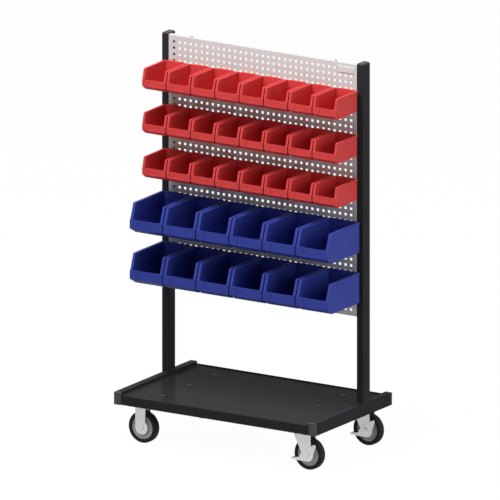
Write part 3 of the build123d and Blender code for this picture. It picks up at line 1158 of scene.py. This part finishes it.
@dataclass
class Castors:
    """Forks, top plates and brake levers of pressed and plated steel."""

    plate_length: float = 100.0
    plate_depth: float = 85.0
    plate_thickness: float = CASTOR_PLATE
    plate_corner: float = 8.0
    sheet: float = 3.0
    edge: float = 0.8
    lap: float = 0.5
    leg_inner: float = 17.5
    leg_points: int = 26
    fixed_leg_width: float = 45.0
    fixed_leg_round: float = 27.5
    boss_radius: float = 19.0
    boss_height: float = 0.9
    boss_round: float = 0.8
    axle_flats: float = 17.0
    axle_head: float = 5.2
    axle_end: float = 5.0
    axle_proud: float = 0.8
    axle_round: float = 1.0
    head_chamfer: float = 1.2
    race_radius: float = 32.0
    race_height: float = 7.0
    race_foot: float = 2.0
    race_flank: float = 2.5
    race_neck: float = 1.5
    race_lap: float = 0.2
    race_rounds: tuple[float, ...] = (0.3, 1.5, 1.5, 0.5, 0.3)
    king_radius: float = 6.0
    king_round: float = 0.2
    king_lap: float = 1.0
    king_flats: float = 19.0
    king_head: float = 7.0
    play: float = 0.3
    swivel_round: float = 24.5
    crown_front: float = 34.0
    crown_back: float = 43.0
    crown_corner: float = 4.0
    brake_sheet: float = 2.0
    brake_edge: float = 0.6
    # A lever plate's outline about the axle, with its ear at the upper right and its arm to the left.
    brake_corners: tuple[tuple[float, float], ...] = (
        (28, 0),
        (40, 34),
        (37, 44),
        (14, 34),
        (-28, 1.4),
        (-35, -14.5),
        (-66, -18.5),
        (-66, -26.5),
        (0, -28),
        (28, -28),
    )
    brake_rounds: tuple[float, ...] = (6, 1.2, 1.2, 6, 6, 5, 2.5, 2.5, 10, 25)
    tread: float = 12.0
    tread_reach: float = 67.0
    tread_drop: float = 22.0
    tread_corner: float = 4.0
    tread_half: float = 1.0
    tread_edge: float = 0.7
    ridge_width: float = 1.6
    ridge_inset: float = 3.0
    ridge_pitch: float = 3.2
    ridge_foot: float = 0.8
    ridge_top: float = 1.7
    ridge_rims: tuple[float, float] = (0.05, 0.5)

    def build(self) -> None:
        """Make both kinds of castor."""
        plain, bolted = [CASTOR_ZINC], [CASTOR_ZINC, BOLT_ZINC]
        fixed, plates = [], []
        for row in ROWS:
            fixed += self.fixed_fork(row)
            plates += self.top_plate(row)
            node = f"swivel_fork_{row}"
            fork = self.swivel_fork(row)
            add_piece(f"{node}_pressed", fork, bolted, f"swivel_{row}", "zinc_steel", node)
            node = f"brake_pedal_{row}"
            brake = self.brake(row)
            add_piece(f"{node}_pressed", brake, plain, f"brake_{row}", "zinc_steel", node)
        node = "fixed_castor_forks"
        add_piece(f"{node}_pressed", fixed, bolted, "root", "zinc_steel", node)
        node = "swivel_top_plates"
        add_piece(f"{node}_pressed", plates, plain, "root", "zinc_steel", node)

    def axle_place(self, row: str, side: str) -> np.ndarray:
        """Middle of a wheel."""
        low, high = node_box(f"tyre_{row}_{side}")
        return (low + high) / 2

    def bolting_plate(self, x: float, y: float, top: float) -> Skin:
        """Rectangular plate with rounded corners."""
        outline = rectangle(self.plate_length, self.plate_depth, self.plate_corner)
        return slab(outline, -self.plate_thickness, 0, self.edge).placed((x, y, top))

    def axle_heads(self, place: np.ndarray, start: float) -> list[Skin]:
        """Hexagon heads and rounded bolt ends outside both legs.

        Args:
            place: the axle's middle.
            start: how far from the middle the heads begin.

        Returns:
            Two heads and two ends, in the bolts' finish.
        """
        head = hexagon(self.axle_flats, self.axle_head, self.head_chamfer)
        end = disc(self.axle_end, 0, self.axle_head + self.axle_proud, self.axle_round)
        heads = []
        for skin in (head, end):
            front = skin.dressed(1).shifted(0, 0, start)
            heads += [half.placed(tuple(place), Facing.FRONT) for half in (front, front.mirrored())]
        return heads

    def legs(self, outline: np.ndarray, place: np.ndarray, boss: float) -> list[Skin]:
        """Two legs on both sides of the wheel, each with a raised round about the axle.

        Args:
            outline: a leg's outline about the axle.
            place: the axle's middle.
            boss: radius of the raised rounds, or zero for none.

        Returns:
            The legs and their rounds.
        """
        face = self.leg_inner + self.sheet
        skins = []
        for sign in (-1, 1):
            span = sorted((sign * self.leg_inner, sign * face))
            skins.append(slab(outline, *span, self.edge).placed(tuple(place), Facing.FRONT))
            if boss:
                raised = disc(boss, face - self.lap, face + self.boss_height, self.boss_round)
                raised = raised if sign > 0 else raised.mirrored()
                skins.append(raised.placed(tuple(place), Facing.FRONT))
        return skins

    def leg_outline(self, radius: float, left: float, right: float, rise: float) -> np.ndarray:
        """Outline of a leg: from its upper edge down to a round about the axle and up again.

        The left edge meets the round's leftmost point. The right edge stands upright where the
        round's cosine reaches it.

        Args:
            radius: the round's radius.
            left: where the upper edge starts.
            right: where the upper edge ends.
            rise: height of the upper edge above the axle.

        Returns:
            The outline's points.
        """
        arc = circle(radius, self.leg_points, pi, pi + acos(right / radius))
        return np.concatenate([[(left, rise)], arc, [(right, rise)]])

    def fixed_fork(self, row: str) -> list[Skin]:
        """Fixed castor: bolting plate, straight legs flush with their round ends on the left, axle.

        Args:
            row: which castor.

        Returns:
            The castor's skins without its wheel.
        """
        place = self.axle_place(row, "left")
        top = node_box("fixed_castor_forks")[1][2]
        rise = top - self.plate_thickness - place[2] + self.lap
        left = -self.fixed_leg_round
        outline = self.leg_outline(self.fixed_leg_round, left, left + self.fixed_leg_width, rise)
        return [
            self.bolting_plate(place[0], place[1], top),
            *self.legs(outline, place, self.boss_radius),
            *self.axle_heads(place, self.leg_inner + self.sheet),
        ]

    def top_plate(self, row: str) -> list[Skin]:
        """Swivelling castor's plate: bolting plate, ball race and king pin with its nut.

        Args:
            row: which castor.

        Returns:
            The plate's skins.
        """
        low, high = node_box("swivel_top_plates")
        x = (low[0] + high[0]) / 2
        y = self.axle_place(row, "right")[1]
        under = -self.plate_thickness
        floor, roof = under - self.race_height, under + self.race_lap
        profile = rounded(
            [
                (self.king_radius, floor),
                (self.race_radius - self.race_foot, floor),
                (self.race_radius, floor + self.race_flank),
                (self.race_radius - self.race_neck, roof),
                (self.king_radius, roof),
            ],
            self.race_rounds,
        )
        nut = hexagon(self.king_flats, self.king_head, self.head_chamfer).mirrored()
        nut_top = low[2] + self.king_head
        pin = disc(self.king_radius, nut_top - high[2] - self.king_lap, under, self.king_round)
        return [
            self.bolting_plate(x, y, high[2]),
            revolve(profile, ring=True).placed((x, y, high[2])),
            pin.placed((x, y, high[2])),
            nut.placed((x, y, nut_top)),
        ]

    def swivel_fork(self, row: str) -> list[Skin]:
        """Swivelling fork: a crown, and legs that narrow to a round end at the axle.

        Args:
            row: which castor.

        Returns:
            The fork's skins.
        """
        place = self.axle_place(row, "right")
        plate_low, plate_high = node_box("swivel_top_plates")
        king = (plate_low[0] + plate_high[0]) / 2 - place[0]
        rise = node_box(f"swivel_fork_{row}")[1][2] - place[2]
        left, right = king - self.crown_front, king + self.crown_back
        outline = self.leg_outline(self.swivel_round, left, right, rise)
        half_depth = self.leg_inner + self.sheet
        sheet = rectangle(right - left, 2 * half_depth, self.crown_corner)
        crown = slab(sheet, -self.sheet, 0, self.edge)
        crown = crown.placed((place[0] + (left + right) / 2, place[1], place[2] + rise))
        heads = self.axle_heads(place, half_depth + self.brake_sheet + 2 * self.play)
        return [crown, *self.legs(outline, place, 0.0), *heads]

    def brake(self, row: str) -> list[Skin]:
        """Brake lever: two ear-shaped plates on the axle and a ridged tread between their arms.

        Args:
            row: which castor.

        Returns:
            The plates, the tread and its ridges.
        """
        place = self.axle_place(row, "right")
        outline = rounded(self.brake_corners, self.brake_rounds, steps=4)
        inner = self.leg_inner + self.sheet + self.play
        outer = inner + self.brake_sheet
        skins = []
        for span in ((-outer, -inner), (inner, outer)):
            skins.append(slab(outline, *span, self.brake_edge).placed(tuple(place), Facing.FRONT))
        x, y, z = place[0] - self.tread_reach, place[1], place[2] - self.tread_drop
        tread = rectangle(self.tread, 2 * outer, self.tread_corner)
        skins.append(slab(tread, -self.tread_half, self.tread_half, self.tread_edge).placed((x, y, z)))
        bar = rectangle(self.ridge_width, 2 * (inner - self.ridge_inset), self.ridge_width / 2)
        ridge = slab(bar, self.ridge_foot, self.ridge_top, self.ridge_rims)
        for step in (-1, 0, 1):
            skins.append(ridge.placed((x + step * self.ridge_pitch, y, z)))
        return skins


@dataclass
class Fasteners:
    """Heads of the screws and bolts."""

    shelf_place: float = 290.0
    shelf_spacing: float = 185.0
    shelf_stop: float = SHELF_STOP
    shelf_head: float = 7.5
    shelf_depth: float = 2.0
    shelf_dome: float = 2.4
    dome_points: int = 7
    socket: float = 2.6
    socket_taper: float = 0.3
    socket_depth: float = 0.4
    socket_point: float = 0.4
    socket_fall: float = 0.1
    plate_thickness: float = CASTOR_PLATE
    bolt_flats: float = 13.0
    bolt_height: float = 5.2
    bolt_chamfer: float = 1.0
    bolt_x: float = 40.0
    bolt_y: float = 31.0
    panel_sheet: float = PANEL_SHEET
    panel_flats: float = 8.0
    panel_height: float = 3.5
    panel_chamfer: float = 0.8
    panel_margin: float = 50.0
    rail_sheet: float = 2.0
    rail_head: float = 4.0
    rail_height: float = 2.0
    rail_round: float = 1.2
    rail_drop: float = 25.0
    rail_places: dict[str, float] = field(
        default_factory=lambda: {
            "red_bin_top_1": 225.0,
            "red_bin_middle_1": 225.0,
            "red_bin_lower_1": 225.0,
            "blue_bin_upper_1": 300.0,
            "blue_bin_bottom_1": 300.0,
        }
    )

    def build(self) -> None:
        """Make all heads as one piece, plated but for the blackened ones in the shelf."""
        skins = [*self.shelf_screws(), *self.castor_bolts(), *self.panel_screws(), *self.rail_screws()]
        finishes = [BOLT_ZINC, SCREW_OXIDE]
        add_piece("fasteners_turned", skins, finishes, "root", "fastener_steel", "fasteners")

    def shelf_screws(self) -> list[Skin]:
        """Raised countersunk heads in the shelf, each with a round socket.

        At a share of the head's radius, the dome's rise is its full height times the squared cosine of
        that share of a quarter turn.

        Returns:
            The heads.
        """
        top = node_box("base_shelf")[1][2] - self.shelf_stop
        radius = np.linspace(self.shelf_head, self.socket, self.dome_points)
        rise = self.shelf_dome * np.cos(radius / self.shelf_head * pi / 2) ** 2
        profile = np.concatenate(
            [
                [(self.shelf_head - self.shelf_depth, -self.shelf_depth)],
                np.stack([radius, rise], axis=1),
                [(self.socket - self.socket_taper, -self.socket_depth)],
                [(self.socket_point, -self.socket_depth - self.socket_fall)],
            ]
        )
        head = revolve(profile, steps=24).dressed(1)
        return [
            head.placed((x, y, top))
            for x in (-self.shelf_place, self.shelf_place)
            for y in (-self.shelf_spacing, 0.0, self.shelf_spacing)
        ]

    def castor_bolts(self) -> list[Skin]:
        """Hexagon heads under the corners of the castors' plates.

        Returns:
            The heads.
        """
        head = hexagon(self.bolt_flats, self.bolt_height, self.bolt_chamfer).mirrored()
        plates = (("fixed_castor_forks", "left"), ("swivel_top_plates", "right"))
        skins = []
        for node, side in plates:
            low, high = node_box(node)
            x = (low[0] + high[0]) / 2
            for row in ROWS:
                wheel_low, wheel_high = node_box(f"tyre_{row}_{side}")
                y = (wheel_low[1] + wheel_high[1]) / 2
                for dx in (-self.bolt_x, self.bolt_x):
                    for dy in (-self.bolt_y, self.bolt_y):
                        skins.append(head.placed((x + dx, y + dy, high[2] - self.plate_thickness)))
        return skins

    def panel_screws(self) -> list[Skin]:
        """Hexagon heads inside the panel's side flanges, into the posts.

        Returns:
            The heads.
        """
        low, high = node_box("perforated_panel")
        middle = (low + high) / 2
        reach = (high[2] - low[2]) / 2 - self.panel_margin
        head = hexagon(self.panel_flats, self.panel_height, self.panel_chamfer)
        left, right = low[0] + self.panel_sheet, high[0] - self.panel_sheet
        skins = []
        for x, facing in ((left, Facing.RIGHT), (right, Facing.LEFT)):
            for z in (-reach, 0.0, reach):
                skins.append(head.placed((x, middle[1], middle[2] + z), facing))
        return skins

    def rail_screws(self) -> list[Skin]:
        """Low round heads that hold the hanging rails to the panel.

        Returns:
            The heads.
        """
        head = disc(self.rail_head, 0, self.rail_height, self.rail_round, steps=20)
        face = node_box("perforated_panel")[0][1] - self.rail_sheet
        skins = []
        for node, x in self.rail_places.items():
            z = node_box(node)[1][2] - self.rail_drop
            skins += [head.placed((sign * x, face, z), Facing.FRONT) for sign in (-1, 1)]
        return skins


@dataclass
class Studio:
    """Pale floor, soft light and the camera at the photograph's angle."""

    azimuth: float = 32.0
    elevation: float = 15.04
    view_width: float = 1915.7
    target: tuple[float, float, float] = (-13.55, 0.0, 763.1)
    distance: float = 6000.0
    clip_end: float = 100000.0
    key_place: tuple[float, float, float] = (-420.0, -1764.0, 4543.0)
    key_size: float = 2400.0
    key_power: float = 190.0
    fill_place: tuple[float, float, float] = (3597.0, -760.0, 1675.0)
    fill_size: float = 2200.0
    fill_power: float = 56.0
    floor_size: float = 60000.0
    floor_glow: float = 0.9
    floor_white: float = 1.08
    floor_colour: str = "#8C8C8C"
    horizon_light: float = 0.12
    zenith_light: float = 0.75

    def build(self) -> None:
        """Set the stage."""
        self.floor()
        self.world()
        self.lamp("key_light", self.key_place, self.key_size, self.key_power)
        self.lamp("fill_light", self.fill_place, self.fill_size, self.fill_power)
        self.camera()
        bpy.context.scene.view_settings.view_transform = "Standard"

    def seen_directly(self, tree: bpy.types.NodeTree) -> bpy.types.NodeSocket:
        """One for rays from the camera, a mirror or glass, and nothing for scattered light.

        Args:
            tree: the nodes of a material or the world.

        Returns:
            The larger of the three kinds' own answers.
        """
        path = add_node(tree, "ShaderNodeLightPath")
        rays = add_node(
            tree,
            "ShaderNodeMath",
            {0: path.outputs["Is Camera Ray"], 1: path.outputs["Is Glossy Ray"]},
            operation="MAXIMUM",
        )
        rays = add_node(
            tree,
            "ShaderNodeMath",
            {0: rays.outputs[0], 1: path.outputs["Is Transmission Ray"]},
            operation="MAXIMUM",
        )
        return rays.outputs[0]

    def floor(self) -> None:
        """A wide pale floor that glows to the camera and keeps a soft shadow."""
        reach = self.floor_size / 2 * MM
        corners = [(-reach, -reach, 0), (reach, -reach, 0), (reach, reach, 0), (-reach, reach, 0)]
        mesh = bpy.data.meshes.new("studio_floor")
        mesh.from_pydata(corners, [], [(0, 1, 2, 3)])
        material = bpy.data.materials.new("Pale_paper")
        material.use_nodes = True
        tree = material.node_tree
        tree.nodes.clear()
        glow = add_node(
            tree,
            "ShaderNodeMath",
            {0: self.seen_directly(tree), 1: self.floor_glow},
            operation="MULTIPLY",
        )
        paper = add_node(tree, "ShaderNodeBsdfDiffuse", {"Color": linear(self.floor_colour)})
        light = add_node(tree, "ShaderNodeEmission", {"Color": (1, 1, 1, 1), "Strength": self.floor_white})
        mixed = add_node(
            tree, "ShaderNodeMixShader", {0: glow.outputs[0], 1: paper.outputs[0], 2: light.outputs[0]}
        )
        add_node(tree, "ShaderNodeOutputMaterial", {"Surface": mixed.outputs[0]})
        mesh.materials.append(material)
        floor = bpy.data.objects.new("studio_floor", mesh)
        bpy.context.scene.collection.objects.link(floor)

    def world(self) -> None:
        """White surroundings that light the object softly, most from straight above.

        The strength grows evenly with the height of the direction, from the horizon's to the zenith's.
        """
        world = bpy.data.worlds.new("studio_white")
        world.use_nodes = True
        tree = world.node_tree
        tree.nodes.clear()
        way = add_node(tree, "ShaderNodeTexCoord").outputs["Generated"]
        height = add_node(tree, "ShaderNodeSeparateXYZ", {"Vector": way}).outputs["Z"]
        rise = add_node(
            tree,
            "ShaderNodeMapRange",
            {"Value": height, "To Min": self.horizon_light, "To Max": self.zenith_light},
        )
        soft = add_node(tree, "ShaderNodeBackground", {"Color": (1, 1, 1, 1), "Strength": rise.outputs[0]})
        white = add_node(tree, "ShaderNodeBackground", {"Color": (1, 1, 1, 1), "Strength": 1.0})
        mixed = add_node(
            tree,
            "ShaderNodeMixShader",
            {0: self.seen_directly(tree), 1: soft.outputs[0], 2: white.outputs[0]},
        )
        add_node(tree, "ShaderNodeOutputWorld", {"Surface": mixed.outputs[0]})
        bpy.context.scene.world = world

    def lamp(self, name: str, place: tuple[float, float, float], size: float, power: float) -> None:
        """A square soft lamp that faces the rack.

        Args:
            name: the lamp's name.
            place: where it hangs.
            size: its side.
            power: its power in watts.
        """
        light = bpy.data.lights.new(name, "AREA")
        light.size = size * MM
        light.energy = power
        lamp = bpy.data.objects.new(name, light)
        lamp.location = Vector(place) * MM
        aim = Vector(self.target) * MM - lamp.location
        lamp.rotation_euler = aim.to_track_quat("-Z", "Y").to_euler()
        bpy.context.scene.collection.objects.link(lamp)

    def camera(self) -> None:
        """Camera with parallel rays, turned and raised as in the photograph."""
        turn, lift = radians(self.azimuth), radians(self.elevation)
        away = Vector((sin(turn) * cos(lift), -cos(turn) * cos(lift), sin(lift)))
        lens = bpy.data.cameras.new("photo_camera")
        lens.type = "ORTHO"
        lens.ortho_scale = self.view_width * MM
        lens.clip_end = self.clip_end * MM
        camera = bpy.data.objects.new("photo_camera", lens)
        camera.location = (Vector(self.target) + away * self.distance) * MM
        camera.rotation_euler = (-away).to_track_quat("-Z", "Y").to_euler()
        bpy.context.scene.collection.objects.link(camera)
        bpy.context.scene.camera = camera


def main() -> None:
    """Build the rack piece by piece; each piece's face count is logged as it is made."""
    logging.basicConfig(level=logging.INFO, format="%(name)s: %(message)s")
    red_bins = HangingBins(
        family="red_bin",
        rows={"top": 8, "middle": 8, "lower": 8},
        plastic=RED_PLASTIC,
        nose_setback=20.5,
        nose_rise=13.0,
        nose_round=6.0,
        lip_start=15.5,
        lip_height=42.0,
        lip_corner=2.5,
        mouth_setback=12.0,
        hook_width=68.0,
        recess_start=30.0,
        recess_floor=19.5,
        rim_inside=3.0,
        rim_setback=1.0,
        side_gap=0.0,
    )
    blue_bins = HangingBins(
        family="blue_bin",
        rows={"upper": 6, "bottom": 6},
        plastic=BLUE_PLASTIC,
        nose_setback=37.0,
        nose_rise=21.5,
        nose_round=2.5,
        lip_start=22.0,
        lip_height=58.0,
        lip_corner=1.2,
        mouth_setback=26.0,
        hook_width=100.0,
        recess_start=33.0,
        recess_floor=26.0,
        rim_inside=6.0,
        rim_setback=4.0,
        side_gap=0.8,
    )
    assemblies = [
        TubeFrame(),
        TubeCaps(),
        PerforatedPanel(),
        red_bins,
        blue_bins,
        Wheels(),
        Castors(),
        Fasteners(),
        Studio(),
    ]
    for assembly in assemblies:
        assembly.build()


if __name__ == "__main__":
    main()
